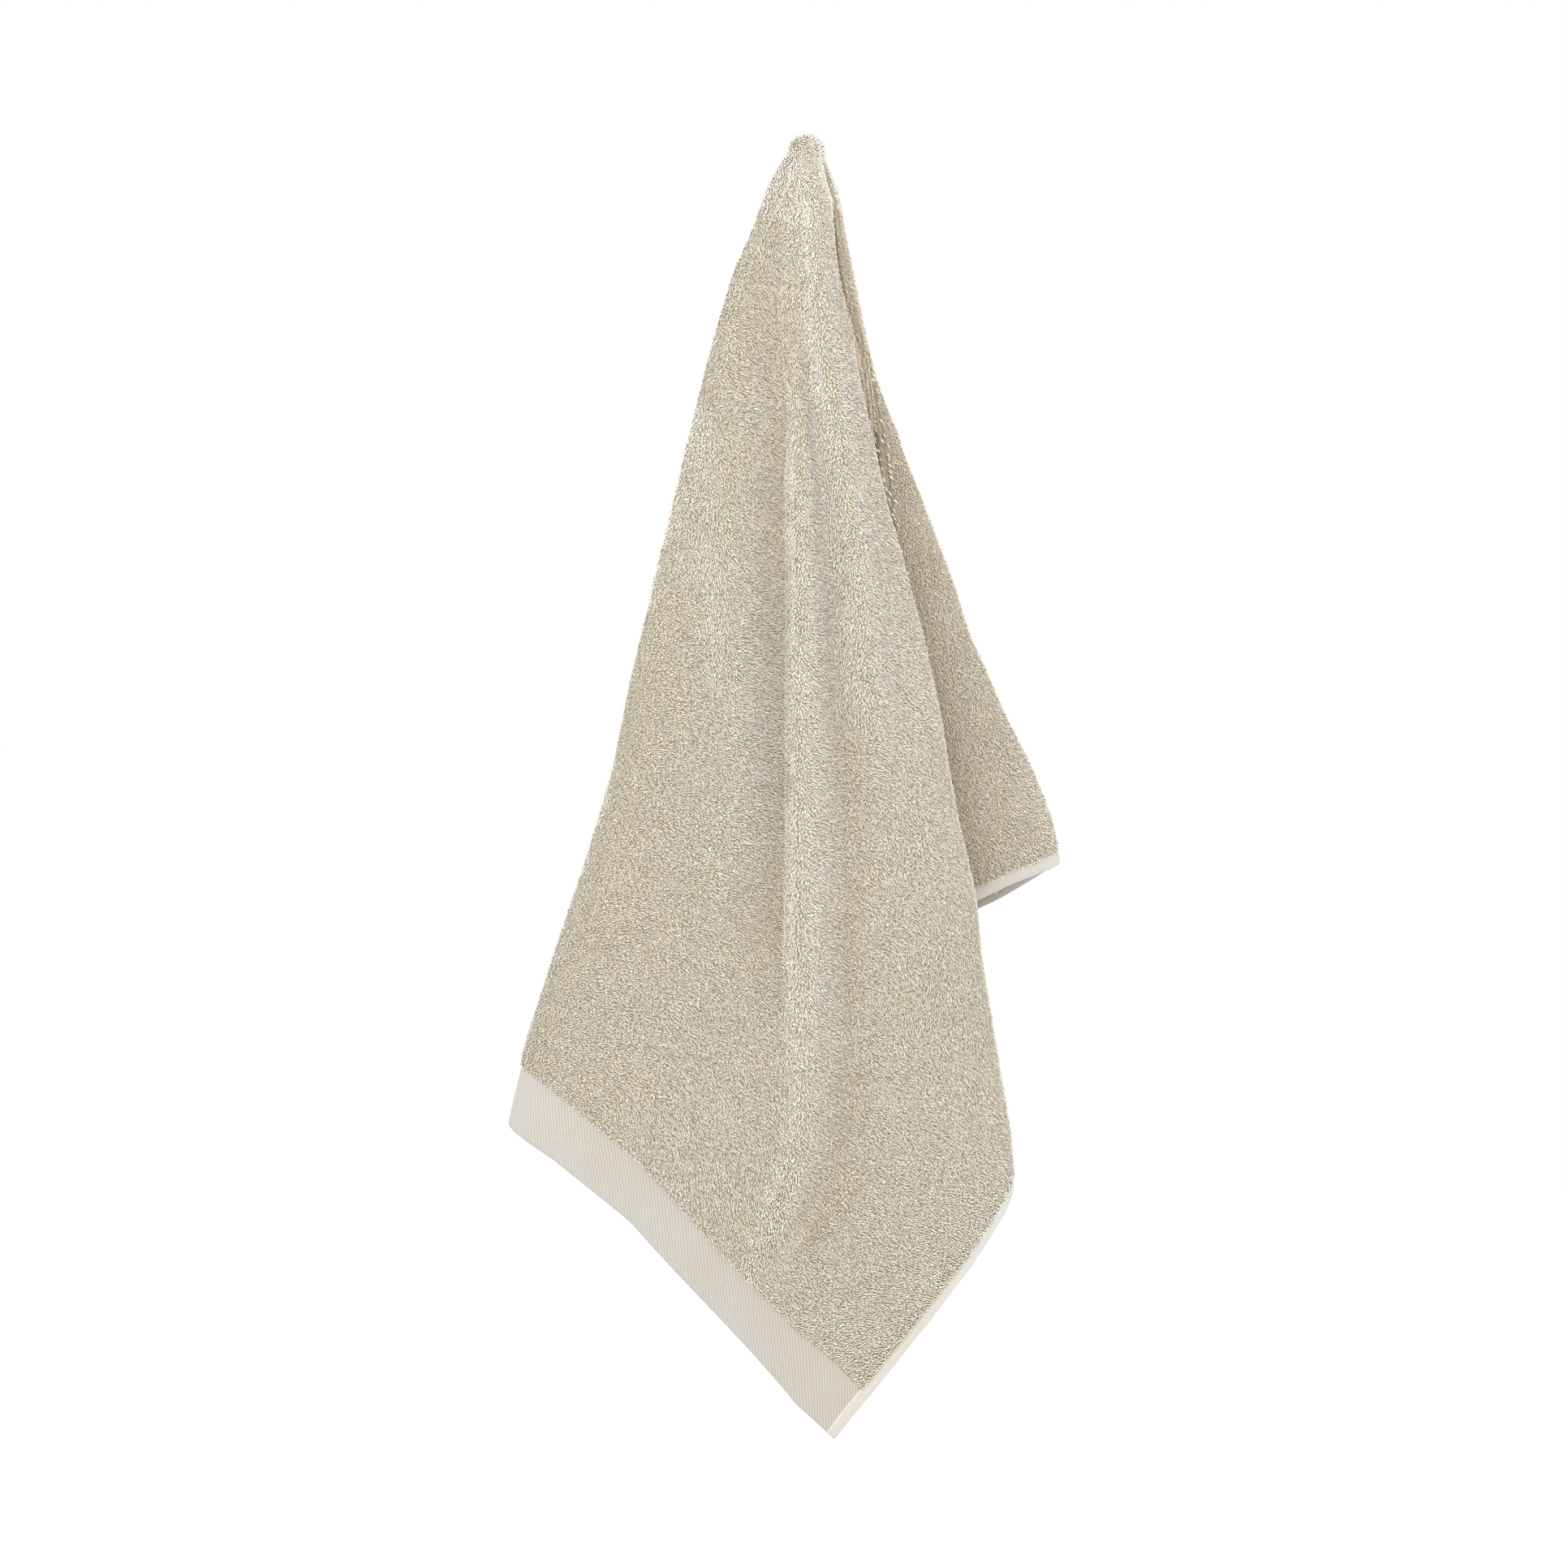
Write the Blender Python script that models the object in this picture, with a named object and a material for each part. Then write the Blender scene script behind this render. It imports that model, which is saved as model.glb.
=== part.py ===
"""A terry hand towel hanging from one point, as one sheet of cloth.

The towel is a flat rectangle with a flat-woven border at one short end and
narrow turned hems on its other three sides.  It hangs from a point close to
the middle of one long edge, so the threads that run out from that point all
hang down, and the cloth closes into a slit cone: one broad front panel, a
rounded left side that wraps to the back, deep pleats behind the panel, and a
flap that shows at the right.

Units are metres.  +Z is up, +X is to the right and the front faces -Y.
The origin is the hang point, on the crown of the cloth.
"""
import math

import bmesh
import bpy
import numpy as np

# --- the flat towel -------------------------------------------------------
CLOTH_WIDTH = 0.500
CLOTH_LENGTH = 1.000
BORDER_DEPTH = 0.032
HEM_WIDTH = 0.006
TERRY_THICKNESS = 0.0040
WOVEN_THICKNESS = 0.0020
CROWN_THICKNESS = 0.0024
PILE_STEP = 0.0025

# --- where it hangs -------------------------------------------------------
HANG_TO_FAR_EDGE = 0.024
HANG_TO_BORDER_END = 0.550
HANG_TO_NEAR_EDGE = CLOTH_WIDTH - HANG_TO_FAR_EDGE
HANG_TO_PLAIN_END = CLOTH_LENGTH - HANG_TO_BORDER_END

# At the hang point the cloth is a rounded crown of this half width and half
# depth.  Its pile is pressed thin there and reaches full loft further down.
CROWN_HALF_WIDTH = 0.011
CROWN_HALF_DEPTH = 0.014
LOFT_START = 0.015
LOFT_FULL = 0.140

# --- the folds ------------------------------------------------------------
# The path of the cloth across the towel, SECTION_REACH of cloth below the
# hang point, from the free long edge at the back left round the front to the
# free long edge at the back right.  Columns: across and back in millimetres,
# mesh columns up to the next row, then for the main fold lines their
# direction in the flat cloth and their place round the crown, in degrees.
# Directions in the flat cloth are counted from the border end.
SECTION_REACH = 0.45
EDGE = "edge"
WRAP = (
    (31, 94, 1, EDGE, -180),
    (23, 98, 2, None, None),
    (-6, 106, 2, None, None),
    (-32, 91, 2, None, None),
    (-58, 93, 2, None, None),
    (-80, 71, 2, None, None),
    (-106, 63, 2, None, None),
    (-122, 33, 2, None, None),
    (-136, -2, 2, 22.5, -92),
    (-124, -23, 2, None, None),
    (-94, -30, 2, None, None),
    (-62, -33, 4, None, None),
    (-36, -34, 6, None, None),
    (-12, -35, 6, None, None),
    (9, -35, 5, 40.9, 6),
    (36, -34, 3, None, None),
    (68, -29, 2, None, None),
    (92, -22, 2, None, None),
)
RIGHT_SIDE = (99, -10, 2, 51.3, 42)
TURN = (
    (90, 2, 2, None, None),
    (50, 3, 2, None, None),
    (0, 0, 2, None, None),
    (-58, -3, 2, None, None),
    (-95, 1, 2, None, None),
    (-104, 12, 2, 77.0, 66),
)
# The pleats behind the front panel, left to right: how far across and back
# each ridge and each furrow lies.
PLEATS = (
    (-78, 50, -60, 15),
    (-40, 72, -20, 13),
    (1, 80, 24, 14),
    (45, 92, 70, 27),
)
PLEAT_ROUNDING = 6
FLAP = (
    (112, 36, 2, None, None),
    (144, 45, 2, None, None),
)
FLAP_SIDE = (152, 58, 2, 174.5, 125)
FLAP_BACK = (
    (143, 71, 2, None, None),
    (121, 76, 2, None, None),
    (107, 83, 1, None, None),
    (99, 88, 0, EDGE, 180),
)
# The pleats are shallow at the crown and reach full depth further down.
PLEATS_START = 0.100
PLEATS_FULL = 0.290

# Below this reach nothing pushes the cloth apart and it hangs straighter.
STRAIGHT_START = 0.40
STRAIGHT_FULL = 0.77
STRAIGHT_SHARE = 0.28

# The threads on either side of the corner that hangs lowest are not taut:
# small ripples take up this share of them.  Columns: direction in the flat
# cloth in degrees, share in per cent.
SLACK = (
    (-3, 3.0),
    (22, 4.3),
    (27, 5.9),
    (31, 5.2),
    (35, 2.6),
    (39, 0.2),
    (43, 0.0),
    (48, 0.7),
    (51, 2.2),
    (120, 2.0),
    (175, 4.2),
)
SLACK_START = 0.020
SLACK_FULL = 0.100

# The towel's outline seen from the front.  Columns, in millimetres: distance
# below the hang point, left side, the front panel's right side, the flap.
OUTLINE = (
    (15, -14, 6, 11),
    (25, -19, 8, 15),
    (50, -29, 12, 20),
    (100, -47, 20, 30),
    (150, -60, 31, 45),
    (200, -72, 42, 62),
    (250, -84, 56, 81),
    (300, -96, 69, 101),
    (350, -106, 82, 123),
    (400, -121, 92, 139),
    (450, -138, 96, 150),
    (500, -154, 104, 160),
    (550, -166, 112, 170),
    (620, -172, 116, 180),
)
# The corners of the outline are eased over this much to each side, it takes
# over from the round crown between these drops, and the flap's share of the
# outline is never taken as narrower than this.
OUTLINE_EASE = 0.012
OUTLINE_START = 0.014
OUTLINE_FULL = 0.045
OUTLINE_LEAST = 0.006

# Soft ridges (height above 0) and troughs (below 0) down the front panel.
# Columns, in millimetres: name, height, half width to the left, half width to
# the right, then the line as (across, below the hang point) pairs.
CREASES = (
    ("centre ridge", 9, 8, 18,
     ((-3, 150), (-4, 220), (-4, 525), (-8, 560), (-20, 590), (-26, 600))),
    ("centre furrow", -7, 24, 8,
     ((-13, 150), (-14, 190), (-15, 460), (-20, 540))),
    ("upper ridge", 5, 8, 9,
     ((0, 62), (3, 106), (14, 195), (24, 275), (30, 330))),
    ("upper furrow", -3, 7, 8,
     ((3, 130), (11, 230), (17, 300), (19, 380))),
    ("left swell", 4, 20, 24,
     ((-46, 180), (-44, 240), (-39, 330), (-36, 380))),
    ("right hollow", -4, 8, 22,
     ((9, 380), (10, 480), (8, 560), (-2, 610))),
    ("hem ridge", 3, 9, 9,
     ((-134, 450), (-138, 500), (-134, 530))),
)
CREASE_FADE = 0.050
CREASE_SHARPNESS = 1.3

# Cross ripples on the flap: their height, their pitch down the cloth and how
# far they slant, in waves for each radian of flat direction.
RIPPLE_HEIGHT = 0.0030
RIPPLE_PITCH = 0.056
RIPPLE_SLANT = 1.5
RIPPLES_START = 0.080
RIPPLES_FULL = 0.160

# --- mesh -----------------------------------------------------------------
CROWN_ROWS = 5
CLOTH_ROWS = 19
ROW_GROWTH = 1.15
SIDE_COLUMNS = 5
SPLINE_SAMPLES = 40
THREAD_STEP = 0.002
LEAST_FALL = 0.05
TINY = 1e-6
TERRY_COLOUR = (0.62, 0.56, 0.45, 1.0)


def smooth_step(low, high, value):
    """0 below low, 1 above high and an eased rise between them."""
    part = np.clip((value - low) / (high - low), 0.0, 1.0)
    return part * part * (3.0 - 2.0 * part)


def section_rows():
    """All rows of the section, and the places of the right side and the flap's side in them."""
    pleats = []
    for ridge_x, ridge_y, furrow_x, furrow_y in PLEATS:
        for x, y in ((ridge_x, ridge_y), (furrow_x, furrow_y)):
            pleats.append((x - PLEAT_ROUNDING, y, 2, None, None))
            pleats.append((x + PLEAT_ROUNDING, y, 2, None, None))
    rows = WRAP + (RIGHT_SIDE,) + TURN + tuple(pleats) + FLAP + (FLAP_SIDE,) + FLAP_BACK
    return rows, rows.index(RIGHT_SIDE), rows.index(FLAP_SIDE)


def spline(points, places):
    """Points of a uniform cubic B-spline that starts and ends on its end points."""
    held = np.vstack([2 * points[0] - points[1], points, 2 * points[-1] - points[-2]])
    span = np.clip(places.astype(int), 0, len(points) - 2)
    t = (places - span)[:, None]
    a, b, c, d = (held[span + k] for k in range(4))
    return ((1 - t) ** 3 * a + (3 * t ** 3 - 6 * t ** 2 + 4) * b
            + (-3 * t ** 3 + 3 * t ** 2 + 3 * t + 1) * c + t ** 3 * d) / 6


def section_columns():
    """The mesh columns: where each crosses the section, in the flat cloth and round the crown."""
    rows, right, flap = section_rows()
    path = np.array([row[:2] for row in rows], float) / 1000
    places = []
    for index, row in enumerate(rows[:-1]):
        places.extend(index + step / row[2] for step in range(row[2]))
    places = np.array(places + [len(rows) - 1], float)

    # Without its pleats the cloth runs straight from the right side to the flap.
    share = np.clip((np.arange(len(rows)) - right) / (flap - right), 0, 1)[:, None]
    straight = path[right] + share * (path[flap] - path[right])
    inner = (share > 0) & (share < 1)
    plain = np.where(inner, straight, path)

    fine = np.linspace(0, len(rows) - 1, SPLINE_SAMPLES * len(rows))
    run = np.concatenate([[0], np.cumsum(np.hypot(*np.diff(spline(path, fine), axis=0).T))])
    column_run = np.interp(places, fine, run)
    main = [i for i, row in enumerate(rows) if row[4] is not None]
    crown = np.interp(column_run, np.interp(main, fine, run), [rows[i][4] for i in main])
    flat_rows = [i for i in main if rows[i][3] != EDGE]
    flat_run = np.interp(flat_rows, fine, run)
    flat = np.interp(column_run, flat_run, [rows[i][3] for i in flat_rows])
    before = np.minimum(column_run / flat_run[0] - 1, 0)
    after = np.maximum((column_run - flat_run[-1]) / (run[-1] - flat_run[-1]), 0)
    left = flat_rows[0]
    return {
        "folded": spline(path, places),
        "plain": spline(plain, places),
        "flat": np.radians(flat),
        "crown": np.radians(crown),
        "to_edge": before + after,
        "left": int(np.argmin(abs(places - left))),
        "right": int(np.argmin(abs(places - right))),
        "flap": int(np.argmin(abs(places - flap))),
    }


def flat_direction(columns, reach):
    """Direction in the flat cloth of each column, reach metres of cloth from the hang point."""
    flat = columns["flat"]
    to_edge = columns["to_edge"]
    past = np.arcsin(np.clip(HANG_TO_FAR_EDGE / np.maximum(reach, TINY), 0.0, 1.0))
    left = flat + to_edge * (flat + past)
    right = flat + to_edge * (math.pi + past - flat)
    return np.where(to_edge < 0, left, np.where(to_edge > 0, right, flat))


def reach_to_edge(direction, border, hem):
    """Cloth from the hang point to a line that runs border or hem metres inside the edge."""
    along = np.cos(direction)
    out = np.sin(direction)
    to_border = (HANG_TO_BORDER_END - border) / np.maximum(along, TINY)
    to_plain = (HANG_TO_PLAIN_END - hem) / np.maximum(-along, TINY)
    to_near = (HANG_TO_NEAR_EDGE - hem) / np.maximum(out, TINY)
    return np.minimum(np.minimum(to_border, to_plain), to_near)


def outline_warp(across, drop, marks):
    """Moves points sideways so that the three sides that show follow OUTLINE."""
    table = np.array(OUTLINE, float) / 1000
    sides = []
    for side in (1, 2, 3):
        near = [np.interp(drop + shift, table[:, 0], table[:, side])
                for shift in (-OUTLINE_EASE, 0.0, OUTLINE_EASE)]
        sides.append(sum(near) / 3)
    left, right, flap = sides
    own_left, own_right, own_flap = marks
    stretch = (flap - right) / max(own_flap - own_right, OUTLINE_LEAST)
    moved = np.where(across < 0, across * left / own_left, across * right / own_right)
    moved = np.where(across > own_right, right + (across - own_right) * stretch, moved)
    return across + smooth_step(OUTLINE_START, OUTLINE_FULL, drop) * (moved - across)


def crease_height(across, drop):
    """How far the creases push the front panel out, at a place on it."""
    total = np.zeros_like(across)
    for _, height, wide_left, wide_right, line in CREASES:
        line = np.array(line, float) / 1000
        off = across - np.interp(drop, line[:, 1], line[:, 0])
        width = np.where(off < 0, wide_left, wide_right) / 1000
        rise = smooth_step(line[0, 1] - CREASE_FADE, line[0, 1] + CREASE_FADE, drop)
        fall = smooth_step(line[-1, 1] - CREASE_FADE / 2, line[-1, 1] + CREASE_FADE / 2, drop)
        shape = 1 / np.cosh(CREASE_SHARPNESS * off / width) ** 2
        total += rise * (1 - fall) * height / 1000 * shape
    return total


def hang(columns, steps):
    """Lets the thread of every column down from the crown, and gives its points step by step."""
    count = len(columns["flat"])
    order = np.arange(count)
    left, right, flap = (columns[name] for name in ("left", "right", "flap"))
    past_left = smooth_step(left, left + SIDE_COLUMNS, order)
    past_right = smooth_step(right - SIDE_COLUMNS, right, order)
    front = past_left * (1 - past_right)
    on_flap = smooth_step(flap - SIDE_COLUMNS, flap, order)
    slack_table = np.array(SLACK)
    direction = np.degrees(flat_direction(columns, SECTION_REACH))
    slack = np.interp(direction, slack_table[:, 0], slack_table[:, 1]) / 100
    crown_x = CROWN_HALF_WIDTH * np.sin(columns["crown"])
    crown_y = -CROWN_HALF_DEPTH * np.cos(columns["crown"])
    crown_r = np.hypot(crown_x, crown_y)

    points = np.zeros((len(steps), count, 3))
    here = np.zeros((count, 2))
    drop = np.zeros(count)
    for index in range(1, len(steps)):
        reach = steps[index]
        taut = 1 - slack * smooth_step(SLACK_START, SLACK_FULL, reach)
        step = (reach - steps[index - 1]) * taut
        over = np.sin(np.minimum(reach / crown_r, math.pi / 2))
        past = np.maximum(reach - crown_r * math.pi / 2, 0.0)
        spread = past ** 2 / (past + CROWN_HALF_WIDTH) / SECTION_REACH
        depth = smooth_step(PLEATS_START, PLEATS_FULL, reach)
        path = columns["plain"] + depth * (columns["folded"] - columns["plain"])
        straighter = 1 - STRAIGHT_SHARE * smooth_step(STRAIGHT_START, STRAIGHT_FULL, reach)
        across = crown_x * over + path[:, 0] * spread
        back = crown_y * over + path[:, 1] * spread * straighter
        across = outline_warp(across, drop, across[[left, right, flap]])
        there = np.column_stack([across, back])
        moved = ((there - here) ** 2).sum(axis=1)
        drop = drop + np.sqrt(np.maximum(step ** 2 - moved, (LEAST_FALL * step) ** 2))
        here = there
        waves = reach / RIPPLE_PITCH + columns["flat"] * RIPPLE_SLANT
        rippled = on_flap * smooth_step(RIPPLES_START, RIPPLES_FULL, reach)
        ripple = RIPPLE_HEIGHT * rippled * np.sin(2 * math.pi * waves)
        out = front * crease_height(across, drop) + ripple
        points[index] = np.column_stack([across, back - out, -drop])
    return points


def row_reaches(columns):
    """How much cloth lies between the hang point and each mesh row, down every column."""
    direction = flat_direction(columns, SECTION_REACH)
    edge = reach_to_edge(direction, 0.0, 0.0)
    pile_end = reach_to_edge(direction, BORDER_DEPTH, HEM_WIDTH)
    rows = [np.full_like(edge, HANG_TO_FAR_EDGE * k / CROWN_ROWS) for k in range(CROWN_ROWS)]
    terry = pile_end - PILE_STEP
    for k in range(CLOTH_ROWS + 1):
        share = (k / CLOTH_ROWS) ** ROW_GROWTH
        rows.append(HANG_TO_FAR_EDGE + (terry - HANG_TO_FAR_EDGE) * share)
    rows.append(pile_end)
    rows.append(edge)
    return np.array(rows)


def thickness(columns, reaches):
    """Cloth thickness at every point: terry, woven border and hems, pressed thin at the crown."""
    result = np.empty_like(reaches)
    for index, reach in enumerate(reaches):
        direction = flat_direction(columns, reach)
        to_far = HANG_TO_FAR_EDGE + reach * np.sin(direction)
        pile_end = reach_to_edge(direction, BORDER_DEPTH, HEM_WIDTH)
        inside = np.minimum(pile_end - reach, to_far - HEM_WIDTH)
        terry = smooth_step(0.0, PILE_STEP, inside)
        loft = smooth_step(LOFT_START, LOFT_FULL, reach)
        full = CROWN_THICKNESS + (TERRY_THICKNESS - CROWN_THICKNESS) * loft
        result[index] = WOVEN_THICKNESS + terry * (full - WOVEN_THICKNESS)
    return result


def towel():
    """The whole towel: one sheet, thickened to both sides of its middle."""
    columns = section_columns()
    reaches = row_reaches(columns)
    steps = np.arange(0.0, reaches.max() + THREAD_STEP, THREAD_STEP)
    threads = hang(columns, steps)
    thick = thickness(columns, reaches)
    row_count, column_count = reaches.shape

    mesh = bpy.data.meshes.new("towel")
    towel_object = bpy.data.objects.new("towel", mesh)
    bpy.context.collection.objects.link(towel_object)
    group = towel_object.vertex_groups.new(name="thickness")

    sheet = bmesh.new()
    bmesh.ops.create_grid(sheet, x_segments=column_count - 1, y_segments=row_count - 1, size=0.5)
    weights = sheet.verts.layers.deform.verify()
    for vert in sheet.verts:
        column = round((vert.co.x + 0.5) * (column_count - 1))
        row = round((vert.co.y + 0.5) * (row_count - 1))
        reach = reaches[row, column]
        vert.co = [np.interp(reach, steps, threads[:, column, axis]) for axis in range(3)]
        vert[weights][group.index] = thick[row, column] / TERRY_THICKNESS
    bmesh.ops.remove_doubles(sheet, verts=sheet.verts, dist=TINY)
    bmesh.ops.recalc_face_normals(sheet, faces=sheet.faces)
    sheet.to_mesh(mesh)
    sheet.free()
    mesh.shade_smooth()

    solid = towel_object.modifiers.new("cloth thickness", "SOLIDIFY")
    solid.thickness = TERRY_THICKNESS
    solid.offset = 0.0
    solid.vertex_group = group.name
    solid.thickness_vertex_group = 0.0
    solid.use_quality_normals = True
    return towel_object


def terry_material():
    """Sand-coloured cotton terry."""
    material = bpy.data.materials.new("sand cotton terry")
    material.use_nodes = True
    shader = material.node_tree.nodes["Principled BSDF"]
    shader.inputs["Base Color"].default_value = TERRY_COLOUR
    shader.inputs["Roughness"].default_value = 0.95
    shader.inputs["Metallic"].default_value = 0.0
    return material


for old in list(bpy.data.objects):
    bpy.data.objects.remove(old, do_unlink=True)
towel().data.materials.append(terry_material())
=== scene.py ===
import math

import bmesh
import bpy
import numpy as np
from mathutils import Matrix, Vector, noise


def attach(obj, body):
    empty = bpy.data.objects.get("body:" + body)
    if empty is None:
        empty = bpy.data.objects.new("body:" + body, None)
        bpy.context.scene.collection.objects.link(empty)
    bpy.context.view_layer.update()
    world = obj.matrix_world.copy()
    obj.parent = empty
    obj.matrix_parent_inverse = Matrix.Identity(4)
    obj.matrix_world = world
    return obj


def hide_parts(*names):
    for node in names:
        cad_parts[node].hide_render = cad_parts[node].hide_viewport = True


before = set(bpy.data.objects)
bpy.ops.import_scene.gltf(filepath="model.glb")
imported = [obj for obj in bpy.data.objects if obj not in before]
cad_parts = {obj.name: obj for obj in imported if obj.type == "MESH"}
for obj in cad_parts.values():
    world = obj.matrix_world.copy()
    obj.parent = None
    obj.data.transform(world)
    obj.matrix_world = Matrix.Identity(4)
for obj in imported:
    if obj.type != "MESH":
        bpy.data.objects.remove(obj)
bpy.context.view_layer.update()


# --- the cloth ------------------------------------------------------------------
# One length of cotton terry, 50 by 100 cm.  The ground weave carries the loops,
# the border at one short end is woven flat and the other edges are turned hems.
# It hangs from one point near the middle of a long edge: every column of the
# mesh is a thread that runs out from there and hangs down as part.py lays it.
CLOTH_WIDTH = 0.500
CLOTH_LENGTH = 1.000
BORDER_DEPTH = 0.032
HEM_WIDTH = 0.006
END_HEM_WIDTH = 0.0078
HANG_TO_FAR_EDGE = 0.024
HANG_TO_BORDER_END = 0.550
HANG_TO_NEAR_EDGE = CLOTH_WIDTH - HANG_TO_FAR_EDGE
HANG_TO_PLAIN_END = CLOTH_LENGTH - HANG_TO_BORDER_END
CROWN_HALF_WIDTH = 0.0084
CROWN_HALF_DEPTH = 0.0105

# The path of the cloth across the towel, SECTION_REACH of cloth below the hang
# point: across and back in millimetres, mesh columns, then for the main folds
# their direction in the flat cloth and their place round the crown, in degrees.
SECTION_REACH = 0.45
EDGE = "edge"
WRAP = (
    (31, 94, 1, EDGE, -180),
    (23, 98, 2, None, None),
    (-6, 106, 2, None, None),
    (-32, 91, 2, None, None),
    (-58, 93, 2, None, None),
    (-80, 71, 2, None, None),
    (-106, 63, 2, None, None),
    (-122, 33, 2, None, None),
    (-136, -2, 2, 22.5, -92),
    (-124, -23, 2, None, None),
    (-94, -30, 2, None, None),
    (-62, -33, 4, None, None),
    (-36, -34, 6, None, None),
    (-12, -35, 6, None, None),
    (9, -35, 5, 40.9, 6),
    (36, -34, 3, None, None),
    (68, -29, 2, None, None),
    (92, -22, 2, None, None),
)
RIGHT_SIDE = (99, -10, 2, 51.3, 42)
TURN = (
    (90, 2, 2, None, None),
    (50, 3, 2, None, None),
    (0, 0, 2, None, None),
    (-58, -3, 2, None, None),
    (-95, 1, 2, None, None),
    (-104, 12, 2, 77.0, 66),
)
PLEATS = (
    (-78, 50, -60, 15),
    (-40, 72, -20, 13),
    (1, 80, 24, 14),
    (45, 92, 70, 27),
)
PLEAT_ROUNDING = 6
FLAP = (
    (112, 36, 2, None, None),
    (144, 45, 2, None, None),
)
FLAP_SIDE = (152, 58, 2, 174.5, 125)
FLAP_BACK = (
    (143, 71, 2, None, None),
    (121, 76, 2, None, None),
    (107, 83, 1, None, None),
    (99, 88, 0, EDGE, 180),
)
PLEATS_START = 0.100
PLEATS_FULL = 0.290
STRAIGHT_START = 0.40
STRAIGHT_FULL = 0.77
STRAIGHT_SHARE = 0.28

# How much of each thread is taken up by small ripples: direction in the flat
# cloth in degrees, share in per cent.
SLACK = (
    (-3, 3.0),
    (22, 4.2),
    (25, 4.9),
    (27, 5.3),
    (31, 5.0),
    (35, 2.6),
    (39, 0.3),
    (41, 0.4),
    (43, 0.05),
    (46, 0.05),
    (48, 0.5),
    (51, 2.2),
    (120, 2.0),
    (150, 5.5),
    (163, 7.2),
    (168, 6.1),
    (172, 4.8),
    (175, 4.0),
    (176, 3.1),
    (178, 1.7),
    (180, 0.3),
    (183, -1.3),
)
SLACK_START = 0.020
SLACK_FULL = 0.100

# The outline from the front, in millimetres: distance below the hang point,
# left side, the front panel's right side, the flap.
OUTLINE = (
    (5, -8.0, 6, 8.0),
    (8, -9.9, 6, 9.8),
    (12, -12.6, 6, 12.4),
    (15, -14.4, 6.5, 14.0),
    (19, -16.7, 7.5, 15.9),
    (25, -20.0, 9, 17.6),
    (30, -21.6, 10, 18.2),
    (38, -24.8, 11.5, 18.8),
    (50, -28.4, 12.5, 19.2),
    (72, -38.6, 14, 24.0),
    (100, -47, 20, 30),
    (128, -54.5, 26, 36.5),
    (150, -60, 31, 44),
    (161, -62.8, 33.5, 49.5),
    (170, -65, 35.5, 51.5),
    (200, -72, 42, 63.5),
    (225, -78, 49, 73),
    (243, -82.5, 54, 80),
    (252, -84.5, 56.5, 83),
    (275, -90, 62.5, 90),
    (300, -96, 68, 102),
    (318, -99.5, 72, 109.5),
    (350, -106, 77, 126),
    (375, -113.5, 81.5, 135.8),
    (400, -121, 87.5, 141.5),
    (425, -129.5, 92.5, 144.7),
    (450, -138, 94.5, 150),
    (500, -154, 102.5, 160),
    (550, -166, 111, 170),
    (620, -172, 116, 180),
)
OUTLINE_EASE = 0.004
OUTLINE_START = 0.004
OUTLINE_FULL = 0.014
OUTLINE_LEAST = 0.006
TIP_SHIFT = 0.0027
TIP_SHIFT_START = 0.61
TIP_SHIFT_FULL = 0.69

# Soft ridges (above 0) and troughs (below 0), in millimetres: name, height,
# half width to the left and to the right, and the line as (across, below the
# hang point) pairs.  The first group runs down the front panel, the second
# down the upper part of the flap.
CREASES = (
    ("centre ridge", 8, 5, 18,
     ((-3, 150), (-4, 220), (-4, 480))),
    ("ridge end", 7.5, 9, 11,
     ((-2, 480), (0, 510), (-2, 545), (-8, 575), (-18, 602), (-26, 620))),
    ("centre furrow", -5, 22, 5,
     ((-11, 150), (-12, 190), (-12, 420), (-14, 460))),
    ("upper ridge", 7.5, 7.5, 13,
     ((5, 25), (9, 110), (18, 160), (26, 213), (31, 266), (36, 330))),
    ("rim furrow", -2, 3, 3,
     ((-9, 24), (-22, 50), (-31, 70), (-40, 95))),
    ("upper hollow", -5, 14, 8,
     ((-14, 60), (-16, 100), (-20, 150))),
    ("upper furrow", -4, 7, 8,
     ((0, 130), (6, 190), (10, 240), (14, 300), (17, 360))),
    ("left swell", 5, 18, 22,
     ((-46, 180), (-44, 240), (-39, 330), (-36, 380))),
    ("right hollow", -4.5, 8, 13,
     ((18, 340), (17, 450), (21, 510), (16, 545), (10, 575), (0, 600), (-8, 620))),
    ("hem ridge", 3, 9, 9,
     ((-134, 450), (-138, 500), (-134, 530))),
)
FLAP_CREASES = (
    ("edge shadow", -8, 2, 2.5,
     ((7, 12), (9, 22), (13, 34), (15, 60), (18, 80), (24, 103), (30, 128))),
    ("flap furrow", -6, 1.6, 2,
     ((9, 12), (15, 28), (19, 48), (23, 70), (27, 90), (31, 108), (39, 132))),
)
BACK_CREASES = (
    ("back ridge", 4, 16, 12,
     ((-6, 140), (-22, 300), (-40, 450), (-50, 560))),
    ("back furrow", -4, 12, 16,
     ((12, 200), (2, 330), (-8, 480), (-14, 560))),
    ("back hollow", -3, 18, 20,
     ((-36, 180), (-62, 320), (-84, 460), (-94, 540))),
    ("back swell", 3, 14, 14,
     ((-62, 260), (-92, 400), (-116, 520))),
)
CREASE_FADE = 0.050
FLAP_CREASE_FADE = 0.010
CREASE_SHARPNESS = 1.3

# Small dents in the front panel, in millimetres: across, below the hang point,
# depth, half width.  Each is longer down the cloth than across it.
DENTS = (
    (27, 500, 1.6, 7),
    (16, 500, 1.2, 5),
    (36, 176, 1.8, 8),
    (29, 196, 1.4, 7),
    (-70, 262, 1.5, 16),
    (-58, 330, 1.2, 14),
    (-104, 420, 1.6, 18),
    (60, 430, 1.5, 16),
    (-60, 520, 1.6, 22),
    (44, 560, 1.3, 18),
    (-30, 96, 1.4, 10),
)
DENT_LENGTHENING = 1.6

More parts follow.
